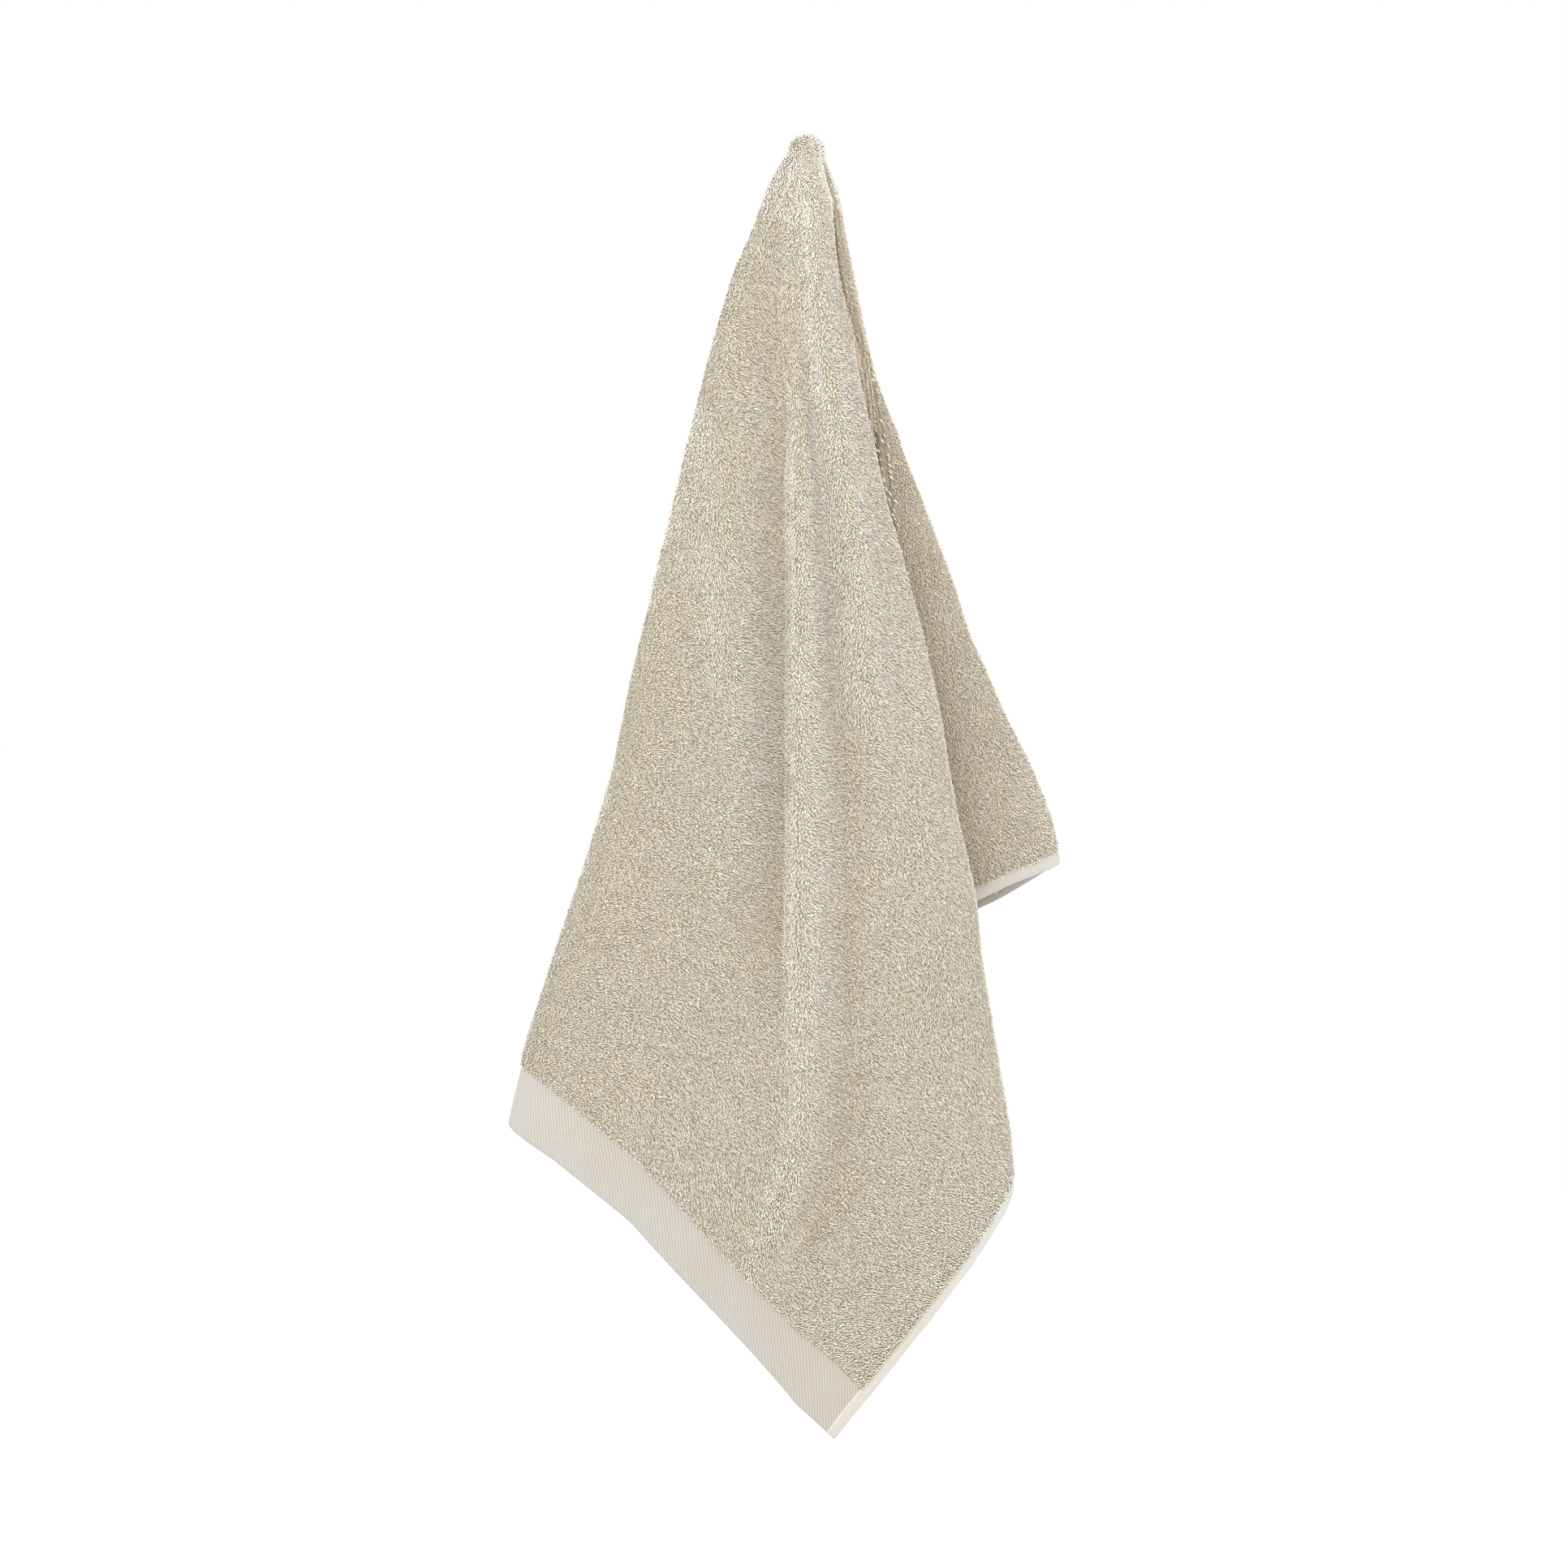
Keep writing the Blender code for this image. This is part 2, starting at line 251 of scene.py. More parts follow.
RIPPLE_HEIGHT = 0.0030
RIPPLE_PITCH = 0.056
RIPPLE_SLANT = 1.5
RIPPLES_START = 0.080
RIPPLES_FULL = 0.160
UNEVEN_HEIGHT = 0.0009
UNEVEN_SIZE = 0.032
FINE_UNEVEN_SHARE = 0.45
FINE_UNEVEN_SCALE = 2.7
UNEVEN_START = 0.010
UNEVEN_FULL = 0.060

REFINE = 3
CROWN_ROWS = 10
CLOTH_ROWS = 64
ROW_GROWTH = 1.10
BAND_ROWS = (0.04, 0.14, 0.30, 0.48, 0.66, 0.84, 0.95, 1.0)
SIDE_COLUMNS = 5
SPLINE_SAMPLES = 40
FLAT_SMOOTHING = 0.036
SMOOTHING_STEPS = 12
THREAD_STEP = 0.002
LEAST_FALL = 0.05
TINY = 1e-6

GROUND_THICKNESS = 0.0022
CROWN_THICKNESS = 0.0016
BORDER_THICKNESS = 0.0016
HEM_THICKNESS = 0.0026
GROOVE_THICKNESS = 0.0012
GROOVE_HALF_WIDTH = 0.0009
ROLLED_EDGE = 0.0014
ROLLED_SHARE = 0.45
LOFT_START = 0.015
LOFT_FULL = 0.140
BORDER_EASE = 0.001
HEM_EASE = (-0.0015, 0.0005)


def smooth_step(low, high, value):
    """0 below low, 1 above high and an eased rise between them."""
    part = np.clip((value - low) / (high - low), 0.0, 1.0)
    return part * part * (3.0 - 2.0 * part)


def section_rows():
    """All rows of the section, and the places of the right side and the flap's side in them."""
    pleats = []
    for ridge_x, ridge_y, furrow_x, furrow_y in PLEATS:
        for x, y in ((ridge_x, ridge_y), (furrow_x, furrow_y)):
            pleats.append((x - PLEAT_ROUNDING, y, 2, None, None))
            pleats.append((x + PLEAT_ROUNDING, y, 2, None, None))
    rows = WRAP + (RIGHT_SIDE,) + TURN + tuple(pleats) + FLAP + (FLAP_SIDE,) + FLAP_BACK
    return rows, rows.index(RIGHT_SIDE), rows.index(FLAP_SIDE)


def spline(points, places):
    """Points of a uniform cubic B-spline that starts and ends on its end points."""
    held = np.vstack([2 * points[0] - points[1], points, 2 * points[-1] - points[-2]])
    span = np.clip(places.astype(int), 0, len(points) - 2)
    t = (places - span)[:, None]
    a, b, c, d = (held[span + k] for k in range(4))
    return ((1 - t) ** 3 * a + (3 * t ** 3 - 6 * t ** 2 + 4) * b
            + (-3 * t ** 3 + 3 * t ** 2 + 3 * t + 1) * c + t ** 3 * d) / 6


def section_columns():
    """The mesh columns: where each crosses the section, in the flat cloth and round the crown."""
    rows, right, flap = section_rows()
    path = np.array([row[:2] for row in rows], float) / 1000
    places = []
    for index, row in enumerate(rows[:-1]):
        count = row[2] * REFINE
        places.extend(index + step / count for step in range(count))
    places = np.array(places + [len(rows) - 1], float)

    share = np.clip((np.arange(len(rows)) - right) / (flap - right), 0, 1)[:, None]
    straight = path[right] + share * (path[flap] - path[right])
    inner = (share > 0) & (share < 1)
    plain = np.where(inner, straight, path)

    fine = np.linspace(0, len(rows) - 1, SPLINE_SAMPLES * len(rows))
    run = np.concatenate([[0], np.cumsum(np.hypot(*np.diff(spline(path, fine), axis=0).T))])
    column_run = np.interp(places, fine, run)
    main = [i for i, row in enumerate(rows) if row[4] is not None]
    crown = np.interp(column_run, np.interp(main, fine, run), [rows[i][4] for i in main])
    flat_rows = [i for i in main if rows[i][3] != EDGE]
    flat_run = np.interp(flat_rows, fine, run)
    flat = np.interp(column_run, flat_run, [rows[i][3] for i in flat_rows])
    even = np.arange(0.0, run[-1], FLAT_SMOOTHING / SMOOTHING_STEPS)
    kernel = np.hanning(2 * SMOOTHING_STEPS + 1)
    kernel = kernel / kernel.sum()
    padded = np.pad(np.interp(even, column_run, flat), SMOOTHING_STEPS,
                    mode="reflect", reflect_type="odd")
    flat = np.interp(column_run, even, np.convolve(padded, kernel, mode="valid"))
    before = np.minimum(column_run / flat_run[0] - 1, 0)
    after = np.maximum((column_run - flat_run[-1]) / (run[-1] - flat_run[-1]), 0)
    left = flat_rows[0]
    return {
        "folded": spline(path, places),
        "plain": spline(plain, places),
        "flat": np.radians(flat),
        "crown": np.radians(crown),
        "to_edge": before + after,
        "run": column_run,
        "left": int(np.argmin(abs(places - left))),
        "right": int(np.argmin(abs(places - right))),
        "flap": int(np.argmin(abs(places - flap))),
    }


def flat_direction(columns, reach):
    """Direction in the flat cloth of each column, reach metres of cloth from the hang point."""
    flat = columns["flat"]
    to_edge = columns["to_edge"]
    past = np.arcsin(np.clip(HANG_TO_FAR_EDGE / np.maximum(reach, TINY), 0.0, 1.0))
    left = flat + to_edge * (flat + past)
    right = flat + to_edge * (math.pi + past - flat)
    return np.where(to_edge < 0, left, np.where(to_edge > 0, right, flat))


def reach_to_edge(direction, border, end_hem, hem):
    """Cloth from the hang point to the line where the border and the hems begin."""
    along = np.cos(direction)
    out = np.sin(direction)
    to_border = (HANG_TO_BORDER_END - border) / np.maximum(along, TINY)
    to_plain = (HANG_TO_PLAIN_END - end_hem) / np.maximum(-along, TINY)
    to_near = (HANG_TO_NEAR_EDGE - hem) / np.maximum(out, TINY)
    return np.minimum(np.minimum(to_border, to_plain), to_near)


def outline_warp(across, drop, marks):
    """Moves points sideways so that the three sides that show follow OUTLINE."""
    table = np.array(OUTLINE, float) / 1000
    sides = []
    for side in (1, 2, 3):
        near = [np.interp(drop + shift, table[:, 0], table[:, side])
                for shift in (-OUTLINE_EASE, 0.0, OUTLINE_EASE)]
        sides.append(sum(near) / 3)
    left, right, flap = sides
    own_left, own_right, own_flap = marks
    stretch = (flap - right) / max(own_flap - own_right, OUTLINE_LEAST)
    moved = np.where(across < 0, across * left / own_left, across * right / own_right)
    moved = np.where(across > own_right, right + (across - own_right) * stretch, moved)
    moved += TIP_SHIFT * smooth_step(TIP_SHIFT_START, TIP_SHIFT_FULL, drop)
    return across + smooth_step(OUTLINE_START, OUTLINE_FULL, drop) * (moved - across)


def crease_height(creases, fade, across, drop):
    """How far the creases push the cloth out, at a place on it."""
    total = np.zeros_like(across)
    for _, height, wide_left, wide_right, line in creases:
        line = np.array(line, float) / 1000
        off = across - np.interp(drop, line[:, 1], line[:, 0])
        width = np.where(off < 0, wide_left, wide_right) / 1000
        rise = smooth_step(line[0, 1] - fade, line[0, 1] + fade, drop)
        fall = smooth_step(line[-1, 1] - fade / 2, line[-1, 1] + fade / 2, drop)
        shape = 1 / np.cosh(CREASE_SHARPNESS * off / width) ** 2
        total += rise * (1 - fall) * height / 1000 * shape
    return total


def dent_depth(across, drop):
    """How far the small dents push the front panel in."""
    total = np.zeros_like(across)
    for x, down, depth, half_width in DENTS:
        below = (drop * 1000 - down) / DENT_LENGTHENING
        far = np.hypot(across * 1000 - x, below) / half_width
        total += depth / 1000 * np.exp(-far ** 2)
    return total


def unevenness(columns, reach):
    """Soft lumps all over the cloth, read from its flat coordinates."""
    direction = flat_direction(columns, reach)
    lumps = []
    for x, y in zip(reach * np.cos(direction), reach * np.sin(direction)):
        spot = Vector((x, y, 0.0)) / UNEVEN_SIZE
        fine = noise.noise(spot * FINE_UNEVEN_SCALE)
        lumps.append(noise.noise(spot) + FINE_UNEVEN_SHARE * fine)
    return UNEVEN_HEIGHT * np.array(lumps) * smooth_step(UNEVEN_START, UNEVEN_FULL, reach)


def hang(columns, steps):
    """Lets the thread of every column down from the crown, and gives its points step by step."""
    count = len(columns["flat"])
    order = np.arange(count)
    left, right, flap = (columns[name] for name in ("left", "right", "flap"))
    blend = SIDE_COLUMNS * REFINE
    past_left = smooth_step(left, left + blend, order)
    past_right = smooth_step(right - blend, right, order)
    front = past_left * (1 - past_right)
    wrapped = 1 - smooth_step(left - 2 * blend, left, order)
    on_flap = smooth_step(flap - blend, flap, order)
    beside = smooth_step(right, right + blend, order) * (1 - on_flap)
    slack_table = np.array(SLACK)
    direction = np.degrees(flat_direction(columns, SECTION_REACH))
    slack = np.interp(direction, slack_table[:, 0], slack_table[:, 1]) / 100
    crown_x = CROWN_HALF_WIDTH * np.sin(columns["crown"])
    crown_y = -CROWN_HALF_DEPTH * np.cos(columns["crown"])
    crown_r = np.hypot(crown_x, crown_y)

    points = np.zeros((len(steps), count, 3))
    here = np.zeros((count, 2))
    drop = np.zeros(count)
    for index in range(1, len(steps)):
        reach = steps[index]
        taut = 1 - slack * smooth_step(SLACK_START, SLACK_FULL, reach)
        step = (reach - steps[index - 1]) * taut
        over = np.sin(np.minimum(reach / crown_r, math.pi / 2))
        past = np.maximum(reach - crown_r * math.pi / 2, 0.0)
        spread = past ** 2 / (past + CROWN_HALF_WIDTH) / SECTION_REACH
        depth = smooth_step(PLEATS_START, PLEATS_FULL, reach)
        path = columns["plain"] + depth * (columns["folded"] - columns["plain"])
        straighter = 1 - STRAIGHT_SHARE * smooth_step(STRAIGHT_START, STRAIGHT_FULL, reach)
        across = crown_x * over + path[:, 0] * spread
        back = crown_y * over + path[:, 1] * spread * straighter
        across = outline_warp(across, drop, across[[left, right, flap]])
        there = np.column_stack([across, back])
        moved = ((there - here) ** 2).sum(axis=1)
        drop = drop + np.sqrt(np.maximum(step ** 2 - moved, (LEAST_FALL * step) ** 2))
        here = there
        waves = reach / RIPPLE_PITCH + columns["flat"] * RIPPLE_SLANT
        rippled = on_flap * (1 - np.clip(columns["to_edge"], 0, 1)) ** 2
        rippled = rippled * smooth_step(RIPPLES_START, RIPPLES_FULL, reach)
        ripple = RIPPLE_HEIGHT * rippled * np.sin(2 * math.pi * waves)
        out = front * (crease_height(CREASES, CREASE_FADE, across, drop)
                       - dent_depth(across, drop))
        out += beside * crease_height(FLAP_CREASES, FLAP_CREASE_FADE, across, drop)
        out -= wrapped * crease_height(BACK_CREASES, CREASE_FADE, across, drop)
        out += ripple + unevenness(columns, reach)
        points[index] = np.column_stack([across, back - out, -drop])
    return points


def row_reaches(columns):
    """Cloth between the hang point and each mesh row down every column, and the last pile row."""
    direction = flat_direction(columns, SECTION_REACH)
    edge = reach_to_edge(direction, 0.0, 0.0, 0.0)
    pile_end = reach_to_edge(direction, BORDER_DEPTH, END_HEM_WIDTH, HEM_WIDTH)
    rows = [np.full_like(edge, HANG_TO_FAR_EDGE * k / CROWN_ROWS) for k in range(CROWN_ROWS)]
    for k in range(CLOTH_ROWS + 1):
        share = (k / CLOTH_ROWS) ** ROW_GROWTH
        rows.append(HANG_TO_FAR_EDGE + (pile_end - HANG_TO_FAR_EDGE) * share)
    for share in BAND_ROWS:
        rows.append(pile_end + (edge - pile_end) * share)
    return np.array(rows), CROWN_ROWS + CLOTH_ROWS


def flat_places(columns, reaches):
    """Where each mesh point lies in the flat cloth: from the far edge and from the border end."""
    from_far = np.empty_like(reaches)
    from_border = np.empty_like(reaches)
    for index, reach in enumerate(reaches):
        direction = flat_direction(columns, reach)
        from_far[index] = HANG_TO_FAR_EDGE + reach * np.sin(direction)
        from_border[index] = HANG_TO_BORDER_END - reach * np.cos(direction)
    return from_far, from_border


def ground_thickness(reaches, from_far, from_border):
    """Thickness of the ground weave, the flat border and the turned hems at every point."""
    to_end = (CLOTH_LENGTH - from_border) * HEM_WIDTH / END_HEM_WIDTH
    to_side = np.minimum(np.minimum(from_far, CLOTH_WIDTH - from_far), to_end)
    loft = smooth_step(LOFT_START, LOFT_FULL, reaches)
    pile = CROWN_THICKNESS + (GROUND_THICKNESS - CROWN_THICKNESS) * loft
    in_border = 1 - smooth_step(BORDER_DEPTH - BORDER_EASE, BORDER_DEPTH + BORDER_EASE, from_border)
    thick = pile + in_border * (BORDER_THICKNESS - pile)
    in_hem = 1 - smooth_step(HEM_WIDTH + HEM_EASE[0], HEM_WIDTH + HEM_EASE[1], to_side)
    thick = thick + in_hem * (HEM_THICKNESS - thick)
    groove = np.exp(-((to_side - HEM_WIDTH) / GROOVE_HALF_WIDTH) ** 2)
    thick = thick + groove * (GROOVE_THICKNESS - thick)
    rolled = 1 - smooth_step(0.0, ROLLED_EDGE, np.minimum(to_side, from_border))
    return thick - ROLLED_SHARE * rolled * thick


columns = section_columns()
reaches, last_pile_row = row_reaches(columns)
steps = np.arange(0.0, reaches.max() + THREAD_STEP, THREAD_STEP)
threads = hang(columns, steps)
middle = np.empty(reaches.shape + (3,))
for column in range(reaches.shape[1]):
    for axis in range(3):
        middle[:, column, axis] = np.interp(reaches[:, column], steps, threads[:, column, axis])
from_far, from_border = flat_places(columns, reaches)
thick = ground_thickness(reaches, from_far, from_border)


def cloth_patch(row_range, column_range):
    """A grid on the middle of the draped cloth, with its flat coordinates as UVs in metres."""
    rows = row_range[1] - row_range[0]
    wide = column_range[1] - column_range[0]
    patch = bmesh.new()
    bmesh.ops.create_grid(patch, x_segments=wide, y_segments=rows, size=0.5, calc_uvs=True)
    cells = {}
    for vert in patch.verts:
        column = round((vert.co.x + 0.5) * wide) + column_range[0]
        row = round((vert.co.y + 0.5) * rows) + row_range[0]
        cells[vert.index] = (row, column)
    uv = patch.loops.layers.uv.verify()
    for face in patch.faces:
        face.smooth = True
        for loop in face.loops:
            row, column = cells[loop.vert.index]
            loop[uv].uv = (from_far[row, column], from_border[row, column])
    for vert in patch.verts:
        vert.co = middle[cells[vert.index]]
    bmesh.ops.reverse_faces(patch, faces=patch.faces)
    return patch, cells


def linear(red, green, blue):
    """A colour as it is seen on a screen, 0 to 255, as the shader's own linear values."""
    values = []
    for seen in (red, green, blue):
        part = seen / 255
        values.append(part / 12.92 if part <= 0.04045 else ((part + 0.055) / 1.055) ** 2.4)
    return (*values, 1.0)


def set_inputs(node, inputs):
    """Gives inputs of a node their links or plain values."""
    for name, value in inputs.items():
        if isinstance(value, bpy.types.NodeSocket):
            node.id_data.links.new(value, node.inputs[name])
        else:
            node.inputs[name].default_value = value


def add_node(tree, kind, place, inputs, **settings):
    """A node of a kind, with its properties and its inputs set."""
    node = tree.nodes.new(kind)
    node.location = place
    for name, value in settings.items():
        setattr(node, name, value)
    set_inputs(node, inputs)
    return node


def mixed(tree, place, factor, a, b, kind="RGBA", blend="MIX"):
    """The result of a Mix node for links or plain values."""
    node = add_node(tree, "ShaderNodeMix", place, {}, data_type=kind, blend_type=blend)
    set_inputs(node, {"Factor": factor, "A": a, "B": b})
    return node.outputs["Result"]


def ramp(tree, place, value, first, last):
    """A colour that blends from the first (position, colour) to the last one with a value."""
    node = add_node(tree, "ShaderNodeValToRGB", place, {"Fac": value})
    for element, (position, colour) in zip(node.color_ramp.elements, (first, last)):
        element.position = position
        element.color = colour
    return node.outputs["Color"]


def soft_areas(tree, place, scale, detail, warm, cool, colour):
    """A colour in soft warm and cool areas, some centimetres wide."""
    x, y = place
    spot = add_node(tree, "ShaderNodeTexCoord", (x - 450, y), {}).outputs["Object"]
    cloud = add_node(tree, "ShaderNodeTexNoise", (x - 250, y),
                     {"Vector": spot, "Scale": scale, "Detail": detail})
    tints = ramp(tree, place, cloud.outputs["Fac"], (0.35, warm), (0.65, cool))
    return mixed(tree, (x + 200, y), 1.0, colour, tints, blend="MULTIPLY")


def new_material(name):
    """A material with its node tree and its shader."""
    material = bpy.data.materials.new(name)
    material.use_nodes = True
    return material, material.node_tree, material.node_tree.nodes["Principled BSDF"]


# Sand ground colours: the darker one is painted shade for the gaps between the loops.
GROUND_GAP_SHADE = linear(140, 130, 105)
GROUND_LIGHT = linear(194, 185, 167)


def ground_material():
    """The terry's ground between the loops: sand, with painted shade darkening the gaps between the
    loops, and a loopy bump.
    """
    material, tree, shader = new_material("terry ground weave")
    flat = add_node(tree, "ShaderNodeTexCoord", (-1100, 0), {}).outputs["UV"]
    loops = add_node(tree, "ShaderNodeTexVoronoi", (-700, 100),
                     {"Vector": flat, "Scale": 620.0, "Randomness": 0.8}, feature="F1")
    gap = loops.outputs["Distance"]
    bump = add_node(tree, "ShaderNodeBump", (-300, -250),
                    {"Height": gap, "Strength": 0.8, "Distance": 0.0012}, invert=True)
    # The colour ramps from sand to painted shade towards the gaps between the loops.
    set_inputs(shader, {
        "Base Color": ramp(tree, (-400, 200), gap, (0.05, GROUND_LIGHT), (0.65, GROUND_GAP_SHADE)),
        "Roughness": 0.95,
        "Sheen Weight": 0.15,
        "Sheen Roughness": 0.6,
        "Normal": bump.outputs["Normal"],
    })
    return material


RIB_PITCH = 0.00172
RIB_SLANT = math.radians(-42)
HEM_RIB_PITCH = 0.0011
# Ivory border and hem colours: the darker ones are painted shade between the ribs.
BORDER_LIGHT = linear(171, 167, 158)
BORDER_RIB_SHADE = linear(144, 139, 131)
HEM_LIGHT = linear(187, 184, 176)
HEM_RIB_SHADE = linear(170, 166, 158)
WOVEN_WARM = (1.0, 0.975, 0.95, 1.0)
WOVEN_COOL = (0.99, 1.01, 1.02, 1.0)
STITCH_THREAD = linear(200, 197, 190)
STITCH_HALF_WIDTH = 0.00022
PICK_PITCH = 0.0009
PICK_SHARE = 0.30


def yarn_bands(tree, place, vector, direction, pitch, distortion, detail, detail_scale):
    """Ridges of yarn side by side, pitch metres apart in a direction."""
    bands = add_node(tree, "ShaderNodeTexWave", place, {
        "Vector": vector,
        "Scale": math.pi / 10 / pitch,
        "Distortion": distortion,
        "Detail": detail,
        "Detail Scale": detail_scale,
    }, wave_type="BANDS", bands_direction=direction, wave_profile="SIN")
    return bands.outputs["Fac"]


def calculated(tree, place, operation, *values):
    """The value of a Math node for links or plain numbers."""
    node = add_node(tree, "ShaderNodeMath", place, dict(enumerate(values)), operation=operation)
    return node.outputs["Value"]


def woven_material():
    """The flat-woven border with its slanting ribs, and the hems with ribs square to the edge, with
    painted shade between the ribs.
    """
    material, tree, shader = new_material("ivory woven border and hems")
    flat = add_node(tree, "ShaderNodeTexCoord", (-1500, 0), {}).outputs["UV"]
    parts = add_node(tree, "ShaderNodeSeparateXYZ", (-1300, 200), {"Vector": flat})
    from_far_edge, from_border_end = parts.outputs["X"], parts.outputs["Y"]
    turned = add_node(tree, "ShaderNodeMapping", (-1300, -100),
                      {"Vector": flat, "Rotation": (0.0, 0.0, RIB_SLANT)})
    ribs = yarn_bands(tree, (-1050, -100), turned.outputs["Vector"], "X", RIB_PITCH, 0.6, 2.0, 0.6)
    ladder = yarn_bands(tree, (-1050, -450), flat, "Y", HEM_RIB_PITCH, 1.0, 1.0, 1.0)
    picks = yarn_bands(tree, (-1050, -750), flat, "X", PICK_PITCH, 2.0, 2.0, 1.0)

    # In the border, and not within a hem's width of the long edge that shows.
    in_border = calculated(tree, (-1050, 500), "LESS_THAN", from_border_end, BORDER_DEPTH)
    past_hem = calculated(tree, (-1050, 320), "LESS_THAN", from_far_edge, CLOTH_WIDTH - HEM_WIDTH)
    ribbed = calculated(tree, (-850, 420), "MULTIPLY", in_border, past_hem)
    at_end = calculated(tree, (-1050, -950), "GREATER_THAN", from_border_end,
                        CLOTH_LENGTH - END_HEM_WIDTH)
    weave = mixed(tree, (-850, -550), PICK_SHARE, ribs, picks, "FLOAT")
    hem_ribs = mixed(tree, (-850, -750), at_end, ladder, picks, "FLOAT")
    # The ribs' low parts take painted shade.
    border_tone = mixed(tree, (-700, 100), weave, BORDER_RIB_SHADE, BORDER_LIGHT)
    hem_tone = mixed(tree, (-700, -150), hem_ribs, HEM_RIB_SHADE, HEM_LIGHT)
    tone = mixed(tree, (-450, 100), ribbed, hem_tone, border_tone)
    tinted = soft_areas(tree, (-450, -900), 28.0, 1.0, WOVEN_WARM, WOVEN_COOL, tone)

    # The seam that closes the hem at the border's ends: a line of pale thread.
    on_seam = calculated(tree, (-850, 700), "COMPARE", from_far_edge,
                         CLOTH_WIDTH - HEM_WIDTH - STITCH_HALF_WIDTH, STITCH_HALF_WIDTH)
    seam = calculated(tree, (-650, 600), "MULTIPLY", on_seam, in_border)
    bump = add_node(tree, "ShaderNodeBump", (-200, -250), {
        "Height": mixed(tree, (-450, -300), ribbed, hem_ribs, weave, "FLOAT"),
        "Strength": 0.5,
        "Distance": 0.0005,
    })
    set_inputs(shader, {
        "Base Color": mixed(tree, (-50, 200), seam, tinted, STITCH_THREAD),
        "Roughness": 0.8,
        "Sheen Weight": 0.1,
        "Normal": bump.outputs["Normal"],
    })
    return material


def ground_cloth():
    """The cloth without its loops, thickened to both sides of its middle."""
    row_count, column_count = reaches.shape
    patch, cells = cloth_patch((0, row_count - 1), (0, column_count - 1))
    mesh = bpy.data.meshes.new("cloth")
    cloth = bpy.data.objects.new("cloth", mesh)
    bpy.context.collection.objects.link(cloth)
    group = cloth.vertex_groups.new(name="thickness")
    weights = patch.verts.layers.deform.verify()
    for vert in patch.verts:
        vert[weights][group.index] = thick[cells[vert.index]] / HEM_THICKNESS
    for face in patch.faces:
        row = min(cells[vert.index][0] for vert in face.verts)
        from_edge = min(from_far[cells[vert.index]] for vert in face.verts)
        face.material_index = 1 if row >= last_pile_row or from_edge < HEM_WIDTH else 0
    bmesh.ops.remove_doubles(patch, verts=patch.verts, dist=TINY)
    patch.to_mesh(mesh)
    patch.free()
    solid = cloth.modifiers.new("cloth thickness", "SOLIDIFY")
    solid.thickness = HEM_THICKNESS
    solid.offset = 0.0
    solid.vertex_group = group.name
    solid.thickness_vertex_group = 0.0
    solid.use_quality_normals = True
    mesh.materials.append(ground_material())
    mesh.materials.append(woven_material())
    return cloth


cloth = ground_cloth()
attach(cloth, "root")
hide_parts("towel")


# --- the pile -------------------------------------------------------------------
# Loops of soft two-ply cotton, 2 to 3 mm long, woven into the ground and lying over
# each other like fur.  Which way they lie changes with the folds: they comb nearly
# straight down along each ridge, fan out a little to both sides of it and slant to
# the right elsewhere.  Each loop has six faces, because there are some 146,000.
LOOP_SIDES = 3
# Painted shade along each loop: the "yarn" attribute runs from 0 at the root, in full painted
# shade, through this share at the belly to 1 at the tip.
BELLY_OUT_OF_SHADE = 0.7
LOOP_ROOT = (-0.15, -0.40)
LOOP_BELLY = (1.10, 0.70)
LOOP_TIP = (2.20, 0.94)
LOOP_HALF_WIDTH = 0.40
LOOP_HALF_HEIGHT = 0.42
# The root colour is painted shade, where shade falls between the loops; the tip colour is the
# loops' own pale sand.
LOOP_ROOT_PAINTED_SHADE = linear(141, 129, 101)
LOOP_TIP_COLOUR = linear(252, 248, 240)
LOOP_WARM = (1.0, 0.976, 0.926, 1.0)
LOOP_COOL = (0.985, 0.984, 0.970, 1.0)
OWN_TONES = (0.66, 1.11)
# Painted shade: loops in the furrows and on the flap beside the front panel's edge are darkened and
# browned by this colour.
FOLD_PAINTED_SHADE = (0.92, 0.80, 0.66, 1.0)
FLAP_SHADE_REACH = 0.016
FOLD_SHADE_DEPTH = 0.016

# Which way the pile lies on the front: across and below the hang point in
# millimetres, then degrees from straight down towards the right.
PILE_LIE = (
    (-6, 57, 25),
    (-28, 70, 40),
    (-26, 140, 56),
    (-33, 213, 55),
    (-55, 205, 32),
    (-37, 266, 76),
    (-20, 266, 84),
    (-42, 302, 60),
    (-24, 338, 70),
    (-69, 249, 50),
    (-78, 308, 74),
    (-46, 369, 62),
    (-91, 373, 68),
    (-24, 400, 62),
    (-127, 467, 86),
    (-91, 490, 58),
    (-60, 480, 54),
    (-60, 547, 40),
    (-37, 583, 14),
    (-24, 525, 46),
    (20, 213, 35),
    (47, 240, 45),
    (47, 302, 48),
    (12, 347, 62),
    (20, 440, 52),
    (74, 391, 30),
    (83, 480, 8),
    (101, 547, 35),
    (47, 525, 52),
    (25, 569, 55),
    (56, 592, 58),
    (20, 614, 52),
    (40, 650, 84),
    (48, 676, 112),
)
FLAP_LIE = (
    (43, 168, 22),
    (65, 235, 26),
    (92, 302, 24),
    (105, 355, 18),
    (112, 366, 84),
    (104, 392, 16),
    (122, 385, 66),
)
LIE_REACH = 17.0
SLANT_ELSEWHERE = 46.0
SLANT_WEIGHT = 1e-4
COMBED_RIDGES = (
    # half width, lie on the crest and further turn at its edge in degrees,
    # (across, below the hang point) pairs
    (6, 18, 6, ((-4, 100), (-4, 320), (-5, 560))),
    (8, 2, 8, ((0, 50), (3, 106), (11, 160), (19, 213), (23.5, 266), (29, 330))),
    (8, 8, 6, ((-52, 160), (-49, 240), (-46, 311))),
)
RIDGE_FADE = 20

